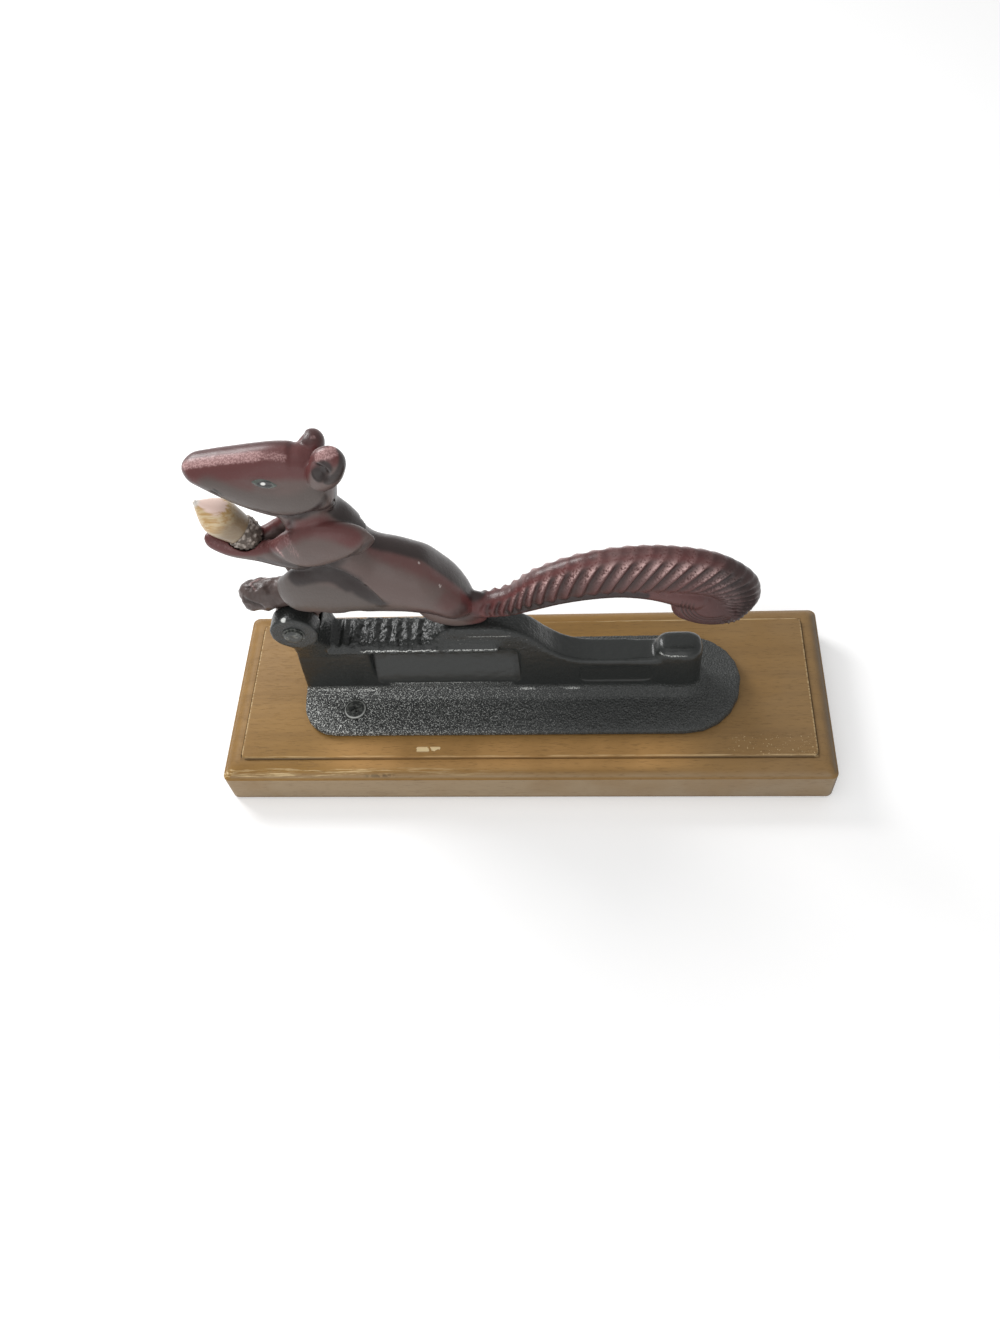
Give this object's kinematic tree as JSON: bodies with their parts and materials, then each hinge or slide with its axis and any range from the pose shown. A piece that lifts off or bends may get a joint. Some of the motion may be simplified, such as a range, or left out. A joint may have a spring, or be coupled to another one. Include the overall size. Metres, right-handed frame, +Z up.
{
  "type": "lever nutcracker",
  "caption": "Cast iron lever nutcracker on a moulded wooden plaque: a squirrel whose tail is the handle is hinged at the front of a log with a toothed anvil bar.",
  "frame": {"origin": "middle of the plaque's underside", "axes": "+X from the squirrel's nose towards its tail, +Y away from the side in the picture, +Z up"},
  "size_m": [0.254, 0.084, 0.1737],
  "materials": {
    "plaque_wood": "stained and varnished, worn",
    "black_iron": "black gloss enamel over rough casting",
    "dark_steel": "darkened",
    "maroon_enamel": "maroon gloss enamel over casting",
    "acorn_shell": "satin",
    "acorn_scale": "matt"
  },
  "bodies": {
    "base": {"wooden_plaque": "plaque_wood", "log_base": "black_iron", "pivot_pin": "dark_steel", "screw_near": "dark_steel", "screw_far": "dark_steel"},
    "lever": {"squirrel_lever": "maroon_enamel", "acorn_nut": "acorn_shell", "acorn_cup": "acorn_scale"}
  },
  "joints": [
    {"name": "squirrel_pivot", "type": "hinge", "parent": "base", "child": "lever", "pos_m": [-0.0855, 0, 0.079], "axis": [0, -1, 0], "range_deg": [0, 68]}
  ]
}
